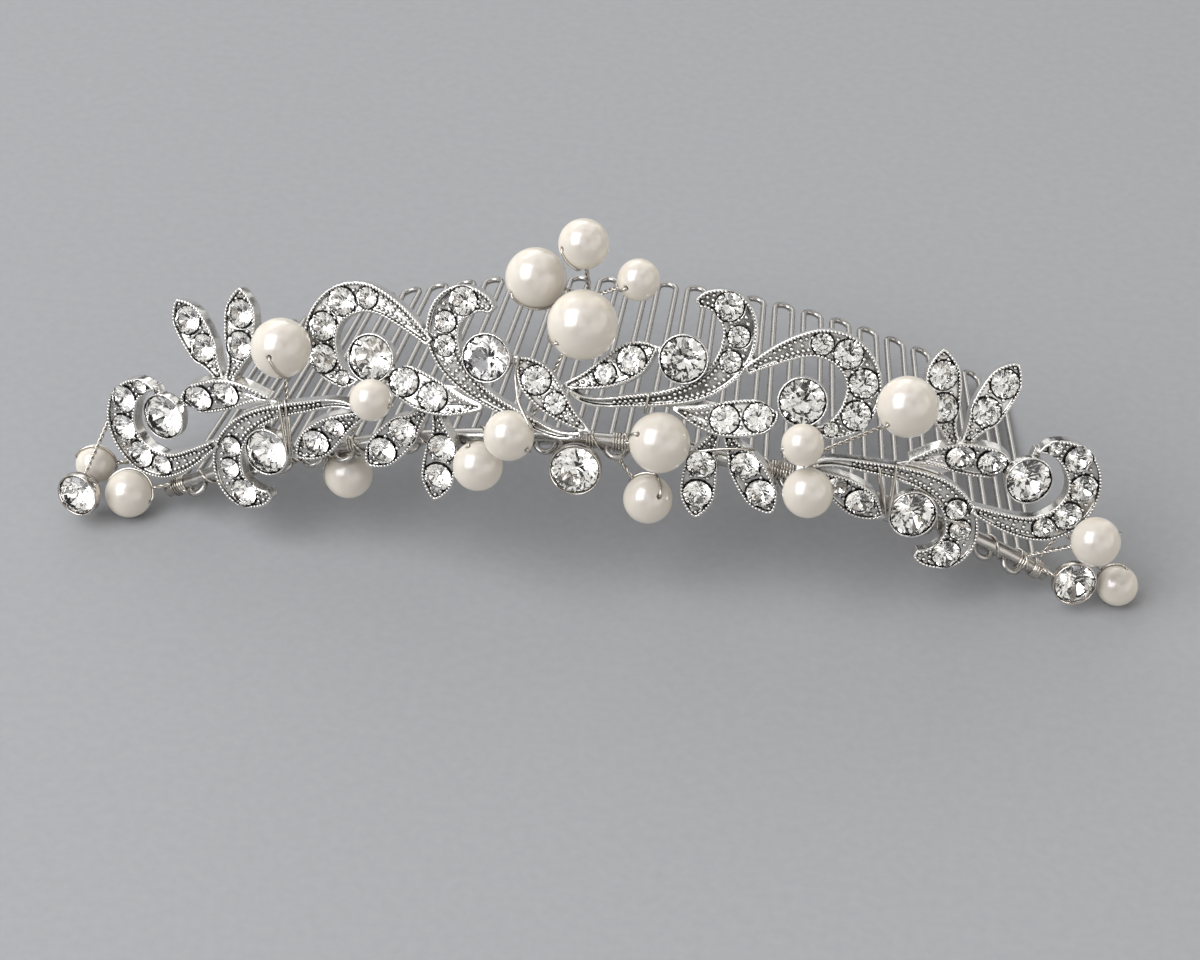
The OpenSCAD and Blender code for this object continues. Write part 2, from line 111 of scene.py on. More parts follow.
def tube(path, radius, sides=8):
    """A round wire along a path, as its points and faces, with closed ends."""
    path = np.array([tuple(p) for p in path], float)
    across, other = frames(path)
    angles = np.arange(sides) * 2 * math.pi / sides
    rings = path[:, None] + radius * (
        np.cos(angles)[None, :, None] * across[:, None] + np.sin(angles)[None, :, None] * other[:, None])
    faces = []
    for i in range(len(path) - 1):
        for k in range(sides):
            near, far = i * sides + k, i * sides + (k + 1) % sides
            faces.append((near, far, far + sides, near + sides))
    faces.append(tuple(range(sides))[::-1])
    faces.append(tuple(range(len(path) * sides - sides, len(path) * sides)))
    return rings.reshape(-1, 3), faces


def join(parts):
    """Several lots of points and faces as one."""
    points, faces, start = [], [], 0
    for part_points, part_faces in parts:
        points.append(np.array(part_points, float).reshape(-1, 3))
        faces.extend(tuple(int(v) + start for v in face) for face in part_faces)
        start += len(part_points)
    return np.concatenate(points), faces


def make_piece(name, points, faces, finishes, smooth=True):
    """A new mesh piece from points in mm; finishes are its materials."""
    mesh = bpy.data.meshes.new(name)
    mesh.from_pydata((np.asarray(points) * MM).tolist(), [], faces)
    mesh.polygons.foreach_set("use_smooth", [smooth] * len(mesh.polygons))
    for finish in finishes:
        mesh.materials.append(finish)
    mesh.update()
    piece = bpy.data.objects.new(name, mesh)
    bpy.context.scene.collection.objects.link(piece)
    return piece


def linear(colour):
    """An sRGB hex colour as linear red, green, blue and alpha."""
    shares = [int(colour[i:i + 2], 16) / 255 for i in (1, 3, 5)]
    return [s / 12.92 if s <= 0.04045 else ((s + 0.055) / 1.055) ** 2.4 for s in shares] + [1]


def new_material(name):
    """An empty material and its node tree."""
    finish = bpy.data.materials.new(name)
    finish.use_nodes = True
    finish.node_tree.nodes.clear()
    return finish, finish.node_tree


def add(tree, kind, settings, links=None):
    """Adds a shader node; settings are its properties and sockets, and links its linked sockets."""
    new = tree.nodes.new(kind)
    for name, value in settings.items():
        if isinstance(name, str) and hasattr(new, name):
            setattr(new, name, value)
        else:
            new.inputs[name].default_value = value
    for name, source in (links or {}).items():
        tree.links.new(source, new.inputs[name])
    return new


def plated_wire(name, grey, pale, least, most):
    """Silver-plated wire in two mottled tones, with the faint scratches that the draw plate leaves."""
    finish, tree = new_material(name)
    place = add(tree, "ShaderNodeTexCoord", {})
    mottle = add(
        tree, "ShaderNodeTexNoise", {"Scale": 1 / (1.5 * MM), "Detail": 3.0},
        {"Vector": place.outputs["Object"]})
    scratch = add(
        tree, "ShaderNodeTexNoise", {"Scale": 1 / (0.2 * MM), "Detail": 2.0},
        {"Vector": place.outputs["Object"]})
    gloss = add(
        tree, "ShaderNodeMapRange", {"To Min": least, "To Max": most}, {"Value": mottle.outputs["Fac"]})
    tone = add(
        tree, "ShaderNodeMix", {"data_type": "RGBA", 6: linear(grey), 7: linear(pale)},
        {0: mottle.outputs["Fac"]})
    relief = add(
        tree, "ShaderNodeBump", {"Strength": 0.06, "Distance": 0.02 * MM},
        {"Height": scratch.outputs["Fac"]})
    shader = add(
        tree, "ShaderNodeBsdfPrincipled", {"Metallic": 1.0},
        {"Base Color": tone.outputs[2], "Roughness": gloss.outputs[0], "Normal": relief.outputs[0]})
    add(tree, "ShaderNodeOutputMaterial", {}, {"Surface": shader.outputs[0]})
    return finish


# Soft brass wire, silver plated: bright and a little warm. Its roughness is between the two numbers
wire_silver = plated_wire("silver_plated_wire", "#B6AFA6", "#DFDAD2", 0.1, 0.3)
# The comb's hard-drawn spring wire takes the plating duller than that: greyer, with less gloss
spring_wire = plated_wire("silver_plated_spring_wire", "#A09D99", "#BFBCB8", 0.18, 0.36)

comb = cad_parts["wire_comb"]
comb.data.materials.clear()
comb.data.materials.append(spring_wire)

# Everything on the comb but the comb itself: the front loops keep clear of it, and the tying wires
# lie on it
others = []
for name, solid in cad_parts.items():
    if name != "wire_comb":
        others.append((
            [v.co / MM for v in solid.data.vertices],
            [tuple(f.vertices) for f in solid.data.polygons]))
other_points, other_faces = join(others)
around = BVHTree.FromPolygons([Vector(p) for p in other_points], other_faces)

loops = []
for gap in range(TOOTH_COUNT - 1):
    along = (gap - (TOOTH_COUNT - 2) / 2) * TOOTH_PITCH
    # Where a loop would touch something, it is made shorter, or left out
    for straight in (LOOP_STRAIGHT, *LOOP_SHORTER):
        path = []
        for step in range(2 * LEG_STEPS + BEND_STEPS + 1):
            turn = math.pi * (step - LEG_STEPS) / BEND_STEPS
            sideways = -LOOP_HALF * math.cos(min(max(turn, 0), math.pi))
            forward = straight + LOOP_HALF * math.sin(min(max(turn, 0), math.pi))
            if step < LEG_STEPS:
                forward = straight * step / LEG_STEPS
            if step > LEG_STEPS + BEND_STEPS:
                forward = straight * (2 * LEG_STEPS + BEND_STEPS - step) / LEG_STEPS
            path.append(on_spine(along + sideways, math.pi + LOOP_DIP, forward))
        if min(around.find_nearest(p)[3] for p in path) > LOOP_WIRE / 2 + LOOP_GAP:
            loops.append(tube(path, LOOP_WIRE / 2))
            break
front_loops = make_piece("front_loops_of_comb", *join(loops), [spring_wire])
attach(front_loops, "root")

turns = TOOTH_COUNT - 1
path = []
for step in range(turns * BINDING_STEPS + 1):
    turned = step / BINDING_STEPS
    along = (turned - turns / 2) * TOOTH_PITCH
    path.append(on_spine(along, 2 * math.pi * turned + math.pi, SPINE_WIRE / 2 + BINDING_WIRE / 2))
binding = make_piece("binding_of_spine", *tube(path, BINDING_WIRE / 2, 6), [wire_silver])
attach(binding, "root")

# The sprig castings. Each is a scroll cast in white metal from one of two mirror moulds, with beaded
# rims, a grained floor and round seats for the stones, then silver plated. Thin wires tie it to the
# spine. The rims' beads and the floor's grains are modelled one by one.
METAL = 1.6
RIM = 0.3
FLOOR_DEPTH = 0.4
SCROLL_HALF = 2.0
BEAD = 0.36
BEAD_PITCH = 0.42
GRAIN = 0.5
GRAIN_PITCH = 0.62
# Half a strip's width from which it has beads and one row of grains, then two rows, then three
BEADED_FROM = 0.6
TWO_GRAINS_FROM = 0.95
THREE_GRAINS_FROM = 1.2
SEAT_GAP = 0.12
CUP_RIM = 0.3
CUP_STONE = 5
# The middle line of each strip: along and up in hundredths of a casting's length, and half the
# strip's width as a share of the scrolls' widest half
S_SCROLL = [
    [-15.2, 25.4, 0.26], [-12, 26.7, 0.52], [-7.4, 26.3, 0.8], [-3.7, 24.3, 0.98], [-1.4, 20.9, 1],
    [-0.9, 16.9, 0.98], [-1.7, 12.6, 0.95], [-4.3, 8, 0.85], [-9.1, 3.4, 0.7], [-15.7, 0, 0.55],
    [-24.3, -2.6, 0.42], [-34.3, -4.3, 0.35], [-42.9, -5.6, 0.27], [-49, -5.2, 0.22], [-53.7, -3.1, 0.15]]
C_SCROLL = [
    [1.4, 8.9, 0.25], [10.9, 14.3, 0.52], [18.9, 17.7, 0.67], [26, 18.6, 0.85], [33.1, 16, 0.98],
    [37.7, 10.3, 1], [38.9, 3.4, 1], [36.6, -3.1, 0.93], [32, -7.4, 0.67], [27.4, -8.9, 0.4],
    [23.4, -8, 0.07]]
LEAF_1 = [
    [-26.3, 12.6, 0.06], [-29.4, 11.1, 0.6], [-34.3, 8, 1], [-41.1, 3.4, 0.87], [-48, 0, 0.5],
    [-53.1, -1.7, 0.25], [-56, -2.6, 0.08]]
LEAF_2 = [
    [13.1, -4.5, 0.06], [10.9, -5.9, 0.6], [6.3, -6.8, 1], [-3.4, -8.3, 1], [-10.9, -8.5, 0.65],
    [-16.6, -7.4, 0.3], [-20, -6.3, 0.15]]
LEAF_3 = [
    [-11.1, -41.4, 0.06], [-11.1, -38.3, 0.6], [-10.9, -33.1, 1], [-10.3, -22.9, 0.95], [-8.6, -16.6, 0.5],
    [-6.3, -12, 0.3], [-4.6, -9.1, 0.25]]
LEAF_4 = [
    [13.1, -37.4, 0.06], [11.7, -34.9, 0.6], [9.1, -30.6, 1], [3.7, -21.7, 0.97], [0, -16, 0.5],
    [-2.3, -12, 0.3], [-3.4, -9.1, 0.25]]
# The stones of each strip: along and up as above, and diameter in mm
S_STONES = [[-5.1, 25.4, 3.2], [-1.3, 17.2, 2.4], [-3.3, 9.9, 2.4]]
C_STONES = [
    [25.1, 18.6, 2.4], [33.4, 15.7, 3.2], [38.6, 6.6, 3.2], [36.9, -3.7, 3.2], [29.1, -8.4, 1.6]]
LEAF_1_STONES = [[-34.3, 7.9, 3.2], [-42.3, 2.7, 2.4]]
LEAF_2_STONES = [[6.9, -6.7, 3.2], [-3.6, -8.3, 3.2]]
LEAF_3_STONES = [[-10.9, -33, 3.2], [-10.3, -22.6, 3.2]]
LEAF_4_STONES = [[9.2, -30.7, 3.2], [3.7, -21.6, 3.2]]
UPPER_CUP = [-18, 10.9]
SIDE_CUP = [19.7, 0.3]
# Each casting's place: along the spine, up and out in hundredths; spin, pitch and roll in degrees;
# mirrored across and up; turn of the C scroll in degrees; and the hook's stretch as a share
SPRIGS = {
    "inner_right": [40.6, 23.5, 2.3, 7, -11, -5, 1, 1, 2, 0.12],
    "outer_right": [114, 19.4, 1.7, 21, 0, 2, 1, -1, -7, 0],
    "inner_left": [-50.6, 24.8, 4.3, -21, -10, -6, -1, 1, -7, 0],
    "outer_left": [-121.4, 20, 1.7, -13, 0, -5, -1, -1, -2, 0.04]}
# The upper leaves are rolled, the lower two droop, and the C scroll bends back. Leaves lie lower than
# the S scroll by the floor's depth
LEAF_ROLL = math.radians(-12)
LEAF_DROOP = math.radians(15)
C_BEND = math.radians(4)
SUNK = Matrix.Translation((0, 0, -FLOOR_DEPTH))


def on_band(along, up, out):
    """The place of something on the band that faces out of it, as a matrix in mm."""
    centre = Matrix.Translation((0, 0, -ARCH_RADIUS))
    return (
        AT_REST @ centre @ Matrix.Rotation(along * HUNDREDTH / ARCH_RADIUS, 4, "Y") @ centre.inverted()
        @ Matrix.Rotation(math.pi / 2 - BAND_LEAN, 4, "X")
        @ Matrix.Translation(Vector((0, up, out)) * HUNDREDTH))


def about(x, y, rotation):
    """A rotation about a point of a casting, given in hundredths of its length."""
    point = Matrix.Translation((x * HUNDREDTH, y * HUNDREDTH, 0))
    return point @ rotation @ point.inverted()


def on_rolled_leaf(stones, axis):
    """The place of a leaf that is rolled over its own axis, about the middle of its two stones."""
    x, y = (stones[0][0] + stones[1][0]) / 2, (stones[0][1] + stones[1][1]) / 2
    axis = Matrix.Rotation(math.radians(axis), 4, "Z")
    roll = axis @ Matrix.Rotation(LEAF_ROLL, 4, "X") @ axis.inverted()
    return SUNK @ about(x, y, roll)


def stretched(rows, share):
    """Rows of the S scroll, or its stones, with the hook stretched by a share."""
    return [[r[0], r[1] * (1 + share) if r[1] > 0 else r[1], r[2]] for r in rows]


def casting_strips(sprig):
    """The scrolls and leaves of a casting: rows, stones and place of each."""
    c_turn = Matrix.Rotation(math.radians(SPRIGS[sprig][8]), 4, "Z")
    on_c = about(10, 0, Matrix.Rotation(C_BEND, 4, "Y")) @ about(5, 11, c_turn)
    lower = SUNK @ about(0, -10, Matrix.Rotation(LEAF_DROOP, 4, "X"))
    stretch = SPRIGS[sprig][9]
    return [
        (stretched(S_SCROLL, stretch), stretched(S_STONES, stretch), Matrix.Identity(4)),
        (C_SCROLL, C_STONES, on_c),
        (LEAF_1, LEAF_1_STONES, on_rolled_leaf(LEAF_1_STONES, 32)),
        (LEAF_2, LEAF_2_STONES, on_rolled_leaf(LEAF_2_STONES, 8)),
        (LEAF_3, LEAF_3_STONES, lower),
        (LEAF_4, LEAF_4_STONES, lower)]


def on_sprig(sprig):
    """The place of a casting, as a matrix in mm."""
    along, up, out, spin, pitch, roll, across, upward = SPRIGS[sprig][:8]
    return (
        on_band(along, up, out) @ Matrix.Rotation(math.radians(spin), 4, "Z")
        @ Matrix.Rotation(math.radians(pitch), 4, "X") @ Matrix.Rotation(math.radians(roll), 4, "Y")
        @ Matrix.Diagonal((across, upward, 1, 1)))


def smooth_rows(rows):
    """The rows with smooth steps between them: along and up in mm, and half the width in mm."""
    rows = np.array(rows, float)
    found = []
    for i in range(len(rows) - 1):
        a, b, c, d = rows[max(i - 1, 0)], rows[i], rows[i + 1], rows[min(i + 2, len(rows) - 1)]
        for t in np.arange(6) / 6:
            squared = (2 * a - 5 * b + 4 * c - d) * t ** 2
            cubed = (3 * b - a - 3 * c + d) * t ** 3
            found.append(0.5 * (2 * b + (c - a) * t + squared + cubed))
    found.append(rows[-1])
    return np.array(found) * (HUNDREDTH, HUNDREDTH, SCROLL_HALF)


def strip_axis(rows):
    """A strip's smoothed rows, and the unit vector across the strip at each of them."""
    path = smooth_rows(rows)
    run = np.gradient(path[:, :2], axis=0)
    run /= np.linalg.norm(run, axis=1)[:, None]
    return path, np.stack([-run[:, 1], run[:, 0]], axis=1)


def run_length(path):
    """The distance along a path at each of its points."""
    return np.concatenate([[0], np.cumsum(np.linalg.norm(np.diff(path, axis=0), axis=1))])


def bead_row(rows, inset):
    """Centres of the beads along both rims of a strip, in its own plane."""
    path, across = strip_axis(rows)
    found = []
    for side in (-1, 1):
        painted_reflection_and_sheen = path[:, :2] + side * np.maximum(path[:, 2] - inset, 0)[:, None] * across
        painted_reflection_and_sheen = painted_reflection_and_sheen[path[:, 2] > BEADED_FROM]
        length = run_length(painted_reflection_and_sheen)
        stops = np.arange(0, length[-1], BEAD_PITCH)
        found.extend(zip(np.interp(stops, length, painted_reflection_and_sheen[:, 0]), np.interp(stops, length, painted_reflection_and_sheen[:, 1])))
    return found


def grain_rows(rows):
    """Centres of the grains on a strip's floor: one row where it is narrow, two or three where wider."""
    path, across = strip_axis(rows)
    length = run_length(path[:, :2])
    found = []
    for number, stop in enumerate(np.arange(0, length[-1], GRAIN_PITCH)):
        middle = np.array([np.interp(stop, length, path[:, i]) for i in range(2)])
        half = np.interp(stop, length, path[:, 2])
        sideways = np.array([np.interp(stop, length, across[:, i]) for i in range(2)])
        if BEADED_FROM < half < TWO_GRAINS_FROM:
            found.append(middle)
        if half >= TWO_GRAINS_FROM:
            reach = min(half - RIM - 0.4, 0.45 * half)
            found.append(middle + sideways * reach)
            found.append(middle - sideways * reach)
            if number % 2 and half > THREE_GRAINS_FROM:
                found.append(middle)
    return found


def balls(places, diameters, template):
    """Small balls as one lot of points and faces."""
    points = np.array([v.co for v in template.vertices]) * 2
    faces = [tuple(f.vertices) for f in template.polygons]
    return join([(points * size / 2 + np.array(place), faces) for place, size in zip(places, diameters)])


bpy.ops.mesh.primitive_ico_sphere_add(subdivisions=2, radius=0.5)
ball_object = bpy.context.object
BALL = ball_object.data.copy()
bpy.data.objects.remove(ball_object)

# Silver-plated casting metal: bright where it is rubbed, darker in the hollows, partly as tarnish and
# partly as painted shade
cast_silver, tree = new_material("silver_plated_casting")
place = add(tree, "ShaderNodeTexCoord", {})
hollow = add(tree, "ShaderNodeAmbientOcclusion", {"samples": 6, "Distance": 0.7 * MM})
# Tarnish and painted shade: the metal turns dark grey where the AO node finds it enclosed
tarnish_and_painted_shade = add(tree, "ShaderNodeMapRange", {"From Min": 0.3, "From Max": 0.94}, {"Value": hollow.outputs["AO"]})
mottle = add(
    tree, "ShaderNodeTexNoise", {"Scale": 1 / (0.9 * MM), "Detail": 4.0},
    {"Vector": place.outputs["Object"]})
skin = add(
    tree, "ShaderNodeTexNoise", {"Scale": 1 / (0.12 * MM), "Detail": 2.0},
    {"Vector": place.outputs["Object"]})
tone = add(
    tree, "ShaderNodeMix", {"data_type": "RGBA", 6: linear("#4A4744"), 7: linear("#EAE8E4")},
    {0: tarnish_and_painted_shade.outputs[0]})
gloss = add(tree, "ShaderNodeMapRange", {"To Min": 0.08, "To Max": 0.3}, {"Value": mottle.outputs["Fac"]})
relief = add(
    tree, "ShaderNodeBump", {"Strength": 0.25, "Distance": 0.02 * MM}, {"Height": skin.outputs["Fac"]})
shader = add(
    tree, "ShaderNodeBsdfPrincipled", {"Metallic": 1.0},
    {"Base Color": tone.outputs[2], "Roughness": gloss.outputs[0], "Normal": relief.outputs[0]})
add(tree, "ShaderNodeOutputMaterial", {}, {"Surface": shader.outputs[0]})

# A casting's skin is laid again in steps of 0.1 mm, smoothed, and thinned to a share of its faces
SKIN_STEP = 0.1
POLISH_PASSES = 3
KEPT_SHARE = 0.35


def softened(node, name, finish):
    """A copy of a CAD solid with its edges rounded, as casting and polishing leave them."""
    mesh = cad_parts[node].data.copy()
    mesh.transform(Matrix.Scale(1 / MM, 4))
    piece = bpy.data.objects.new(name, mesh)
    bpy.context.scene.collection.objects.link(piece)
    cut = piece.modifiers.new("skin", "REMESH")
    cut.mode = "VOXEL"
    cut.voxel_size = SKIN_STEP
    cut.use_smooth_shade = True
    polish = piece.modifiers.new("polish", "SMOOTH")
    polish.factor = 0.5
    polish.iterations = POLISH_PASSES
    fewer = piece.modifiers.new("fewer", "DECIMATE")
    fewer.ratio = KEPT_SHARE
    bpy.context.view_layer.update()
    shaped = bpy.data.meshes.new_from_object(piece.evaluated_get(bpy.context.evaluated_depsgraph_get()))
    piece.modifiers.clear()
    shaped.transform(Matrix.Scale(MM, 4))
    shaped.materials.clear()
    shaped.materials.append(finish)
    piece.data = shaped
    return piece


for sprig in SPRIGS:
    body = softened("sprig_" + sprig, "casting_" + sprig, cast_silver)
    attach(body, "root")
    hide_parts("sprig_" + sprig)

    strips = casting_strips(sprig)
    # Beads and grains keep off the stones' seats
    seats = []
    for _, stones, on_strip in strips:
        for x, y, size in stones:
            seats.append((on_strip @ Vector((x * HUNDREDTH, y * HUNDREDTH, METAL)), size / 2))
    on_c = strips[1][2]
    cup_places = [
        Vector((UPPER_CUP[0] * HUNDREDTH, UPPER_CUP[1] * HUNDREDTH, METAL)),
        on_c @ Vector((SIDE_CUP[0] * HUNDREDTH, SIDE_CUP[1] * HUNDREDTH, METAL))]
    seats.extend((place, CUP_STONE / 2 + CUP_RIM) for place in cup_places)
    places, sizes = [], []
    for rows, _, on_strip in strips:
        beads = [(Vector((x, y, METAL - 0.03)), BEAD) for x, y in bead_row(rows, RIM * 0.75)]
        beads += [(Vector((x, y, METAL - FLOOR_DEPTH + 0.06)), GRAIN) for x, y in grain_rows(rows)]
        for point, size in beads:
            point = on_strip @ point
            if all((point - seat).length > radius + SEAT_GAP for seat, radius in seats):
                places.append(on_sprig(sprig) @ point)
                sizes.append(size)
    grains = make_piece("rim_beads_" + sprig, *balls(places, sizes, BALL), [cast_silver])
    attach(grains, "root")

# The cut stones. Round brilliants of lead crystal: a flat table, a crown of kites and stars, and a
# pointed back, which is silvered like a mirror except in one clear stone. Sixteen small ones and two
# of 5 mm sit in each casting, held by the pushed-over rims and grains.

# A stone's own sizes are shares of its diameter. The girdle's heights in a casting and in a cup are
# in mm
CROWN = 0.2
PAVILION = 0.42
TABLE = 0.29
STAR = 0.384
LOWER_HALF = 0.14
GIRDLE = 0.012
GIRDLE_HEIGHT = METAL - RIM / 2
GIRDLE_IN_CUP = 2.2

crystal, tree = new_material("lead_crystal")
place = add(tree, "ShaderNodeTexCoord", {})
wear = add(
    tree, "ShaderNodeTexNoise", {"Scale": 1 / (0.6 * MM), "Detail": 3.0},
    {"Vector": place.outputs["Object"]})
haze = add(tree, "ShaderNodeMapRange", {"To Min": 0.0, "To Max": 0.01}, {"Value": wear.outputs["Fac"]})
# Lead crystal bends light more than window glass, which gives the stones their hard sparkle
shader = add(
    tree, "ShaderNodeBsdfPrincipled",
    {"Base Color": linear("#FDFDFD"), "Transmission Weight": 1.0, "IOR": 1.56},
    {"Roughness": haze.outputs[0]})
add(tree, "ShaderNodeOutputMaterial", {}, {"Surface": shader.outputs[0]})

# Silver foil fired on the back facets: a mirror seen through the crystal, with slight unevenness
foil, tree = new_material("silver_foil_backing")
place = add(tree, "ShaderNodeTexCoord", {})
uneven = add(
    tree, "ShaderNodeTexNoise", {"Scale": 1 / (0.8 * MM), "Detail": 2.0},
    {"Vector": place.outputs["Object"]})
tone = add(
    tree, "ShaderNodeMix", {"data_type": "RGBA", 6: linear("#E6E5E3"), 7: linear("#FAF9F7")},
    {0: uneven.outputs["Fac"]})
relief = add(
    tree, "ShaderNodeBump", {"Strength": 0.02, "Distance": 0.01 * MM}, {"Height": uneven.outputs["Fac"]})
shader = add(
    tree, "ShaderNodeBsdfPrincipled", {"Metallic": 1.0, "Roughness": 0.02},
    {"Base Color": tone.outputs[2], "Normal": relief.outputs[0]})
add(tree, "ShaderNodeOutputMaterial", {}, {"Surface": shader.outputs[0]})


def brilliant():
    """A round brilliant of diameter 1 with its girdle at the origin: points, faces, and which are backs."""
    eighth = math.pi / 4
    slope = (CROWN - GIRDLE) / (0.5 - TABLE)
    star_height = CROWN - slope * (STAR * math.cos(eighth / 2) - TABLE)
    half_height = -PAVILION + (PAVILION - GIRDLE) / 0.5 * LOWER_HALF * math.cos(eighth / 2)
    rings = []
    for radius, height, count, first in (
            (TABLE, CROWN, 8, 0), (STAR, star_height, 8, 0.5), (0.5, GIRDLE, 16, 0), (0.5, -GIRDLE, 16, 0),
            (LOWER_HALF, half_height, 8, 0.5)):
        step = 2 * math.pi / count
        rings.append([
            (radius * math.cos((k + first) * step), radius * math.sin((k + first) * step), height)
            for k in range(count)])
    points = [p for ring in rings for p in ring] + [(0, 0, -PAVILION)]
    table, stars, upper, lower, halves, tip = 0, 8, 16, 32, 48, 56
    faces, backs = [tuple(range(8))], [False]
    for k in range(8):
        after, before = (k + 1) % 8, (k - 1) % 8
        faces.append((table + k, stars + k, table + after))
        faces.append((table + k, stars + before, upper + 2 * k, stars + k))
        faces.append((stars + k, upper + 2 * k, upper + 2 * k + 1))
        faces.append((stars + k, upper + 2 * k + 1, upper + (2 * k + 2) % 16))
        backs += [False] * 4
        faces.append((halves + k, lower + 2 * k + 1, lower + 2 * k))
        faces.append((halves + k, lower + (2 * k + 2) % 16, lower + 2 * k + 1))
        faces.append((tip, halves + k, lower + 2 * k, halves + before))
        backs += [True] * 3
    for k in range(16):
        after = (k + 1) % 16
        faces.append((upper + k, lower + k, lower + after, upper + after))
        backs.append(False)
    return np.array(points), faces, backs


STONE_POINTS, STONE_FACES, STONE_BACKS = brilliant()


def cut_stones(name, places, foiled=True):
    """Brilliants at the given places, each a matrix in mm and a diameter, as one piece."""
    parts, backs = [], []
    for number, (matrix, size) in enumerate(places):
        # No two stones of a piece are set with their facets the same way round
        turned = matrix @ Matrix.Rotation(0.37 * number, 4, "Z")
        points = [turned @ Vector(p * size) for p in STONE_POINTS]
        faces = STONE_FACES if turned.determinant() > 0 else [f[::-1] for f in STONE_FACES]
        parts.append(([tuple(p) for p in points], faces))
        backs += STONE_BACKS
    piece = make_piece(name, *join(parts), [crystal, foil if foiled else crystal], smooth=False)
    piece.data.polygons.foreach_set("material_index", [int(b) for b in backs])
    return piece


def at_point(x, y, height):
    """A move to a place on a casting."""
    return Matrix.Translation((x * HUNDREDTH, y * HUNDREDTH, height))


for sprig in SPRIGS:
    strips = casting_strips(sprig)
    places = []
    for _, stones, on_strip in strips:
        for x, y, size in stones:
            places.append((on_sprig(sprig) @ on_strip @ at_point(x, y, GIRDLE_HEIGHT), size))
    small = cut_stones("small_stones_" + sprig, places)
    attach(small, "root")
    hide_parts("pave_" + sprig)

    place = on_sprig(sprig) @ at_point(*UPPER_CUP, GIRDLE_IN_CUP)
    upper = cut_stones("round_stone_above_" + sprig, [(place, CUP_STONE)], foiled=sprig != "inner_left")
    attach(upper, "root")
    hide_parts("upper_stone_" + sprig)

    place = on_sprig(sprig) @ strips[1][2] @ at_point(*SIDE_CUP, GIRDLE_IN_CUP)
    side = cut_stones("round_stone_beside_" + sprig, [(place, CUP_STONE)])
    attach(side, "root")
    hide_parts("side_stone_" + sprig)

# The loose stones in cups. One hangs at the middle and one sits at each end. Each cup is a thin
# stamped ring of plated brass, open behind, that grips the stone's edge, on a twisted wire.

# Along, up, out, stone's diameter in mm, wire's foot, and the wire's bend where it has one
LOOSE_CUPS = {
    "middle": [-6.3, -6.6, 8.6, 5.3, -2.9, []],
    "right_end": [160.8, 4.9, 8.6, 4.6, 152, []],
    "left_end": [-173.1, 13.7, 18.6, 4.6, -148.6, [-162.9, 31.4, -5.7]]}
STONE_GAP = 0.1
CUP_WALL = 0.2
BACK_HOLE_SHARE = 0.72
LEDGE_DROP = 0.13
CUP_EDGE = 0.03
STRAND = 0.28
TWIST = 1.5
TWIST_STEP = 0.16
COIL_STEPS = 16
COIL_GAP = 0.04
FOOT_GAP = 0.55


def lathe(profile, sides=48):
    """A turned form from its profile of radius and height, closed if the profile is a loop."""
    points, faces = [], []
    for radius, height in profile:
        for k in range(sides):
            angle = 2 * math.pi * k / sides
            points.append((radius * math.cos(angle), radius * math.sin(angle), height))
    for i in range(len(profile) - 1):
        for k in range(sides):
            near, far = i * sides + k, i * sides + (k + 1) % sides
            faces.append((near, far, far + sides, near + sides))
    return np.array(points), faces


def resampled(path, step):
    """A path at even steps, with its corners rounded as a bent wire's are."""
    path = np.array([tuple(p) for p in path], float)
    length = run_length(path)
    stops = np.linspace(0, length[-1], max(int(length[-1] / step), 4))
    even = np.stack([np.interp(stops, length, path[:, i]) for i in range(3)], axis=1)
    for _ in range(12):
        even[1:-1] = (even[:-2] + 2 * even[1:-1] + even[2:]) / 4
    return even


def twisted_pair(path):
    """Two thin wires twisted together along a path."""
    path = resampled(path, TWIST_STEP)
    across, other = frames(path)
    angles = 2 * math.pi * np.arange(len(path)) * TWIST_STEP / TWIST
    parts = []
    for phase in (0, math.pi):
        offset = np.cos(angles + phase)[:, None] * across + np.sin(angles + phase)[:, None] * other
        parts.append(tube(path + STRAND / 2 * offset, STRAND / 2, 6))
    return join(parts)


def spine_coil(along, turns=3.0):
    """The last turns of a wire round the spine."""
    path = []
    for step in range(int(turns * COIL_STEPS) + 1):
        turned = step / COIL_STEPS
        shift = (turned - turns / 2) * (STRAND + COIL_GAP)
        path.append(on_spine(along + shift, 2 * math.pi * turned, SPINE_WIRE / 2 + STRAND / 2))
    return tube(path, STRAND / 2, 6)


def wire_foot(bead):
    """Where a bead's wire leaves the spine, in hundredths of a sprig."""
    up, out = (bead[5][1], bead[5][2]) if bead[5] else (bead[1], bead[2])
    if len(bead) > 6:
        up, out = bead[6]
    way = (up * HUNDREDTH, out * HUNDREDTH + SPINE_WIRE / 2)
    reach = (SPINE_WIRE / 2 + FOOT_GAP) / math.hypot(*way) / HUNDREDTH
    return AT_REST @ placed(bead[4], way[0] * reach, way[1] * reach - SPINE_WIRE / 2 / HUNDREDTH)


